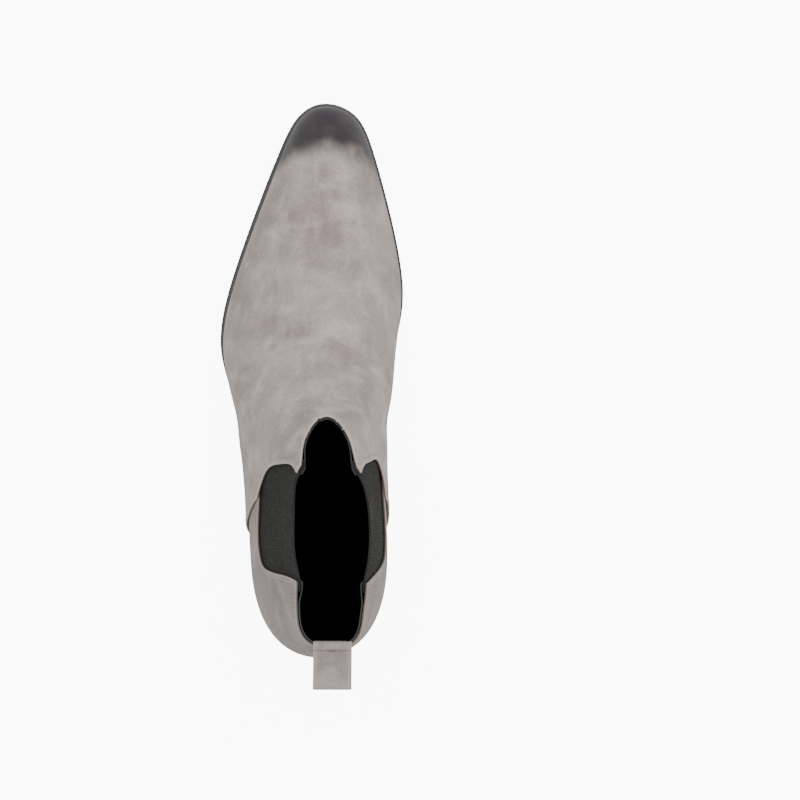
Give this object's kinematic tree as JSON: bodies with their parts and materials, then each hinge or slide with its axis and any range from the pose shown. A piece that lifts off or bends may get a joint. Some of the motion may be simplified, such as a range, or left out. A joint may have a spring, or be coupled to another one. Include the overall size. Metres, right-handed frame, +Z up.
{
  "type": "chelsea boot",
  "caption": "Low-heeled ankle boot in suede with elastic side gores, an almond toe, a scooped topline and a folding pull tab at the back.",
  "frame": {"origin": "middle of the heel's tread face, on the ground", "axes": "+Y from heel to toe, +Z up, +X to the inner (medial) side of this left boot"},
  "size_m": [0.1022, 0.3188, 0.1623],
  "materials": {
    "suede": "napped greige suede, burnished dark at the toe",
    "elastic": "charcoal ribbed elastic webbing",
    "lining_leather": "smooth black lining leather",
    "stiffener": "matt thermoplastic board",
    "insole_board": "matt leather board",
    "foam": "matt soft foam",
    "cork": "granular cork",
    "steel": "plain spring steel",
    "sole_leather": "dark waxed sole leather",
    "rubber": "matt black rubber"
  },
  "bodies": {
    "boot": {"vamp": "suede", "quarter_lateral": "suede", "quarter_medial": "suede", "gore_lateral": "elastic", "gore_medial": "elastic", "vamp_lining": "lining_leather", "quarter_lining": "lining_leather", "sock_lining": "lining_leather", "toe_puff": "stiffener", "heel_counter": "stiffener", "insole_board": "insole_board", "heel_pad": "foam", "forepart_filler": "cork", "shank": "steel", "outsole": "sole_leather", "heel_lift_1": "sole_leather", "heel_lift_2": "sole_leather", "heel_lift_3": "sole_leather", "heel_top_piece": "rubber", "heel_nail_1": "steel", "heel_nail_2": "steel", "heel_nail_3": "steel", "heel_nail_4": "steel", "heel_nail_5": "steel", "pull_tab_sewn_end": "suede"},
    "tab": {"pull_tab": "suede"}
  },
  "joints": [
    {"name": "pull_tab_fold", "type": "hinge", "parent": "boot", "child": "tab", "pos_m": [0.01, -0.02244, 0.1479], "axis": [1, 0, 0], "range_deg": [-70, 100]}
  ]
}
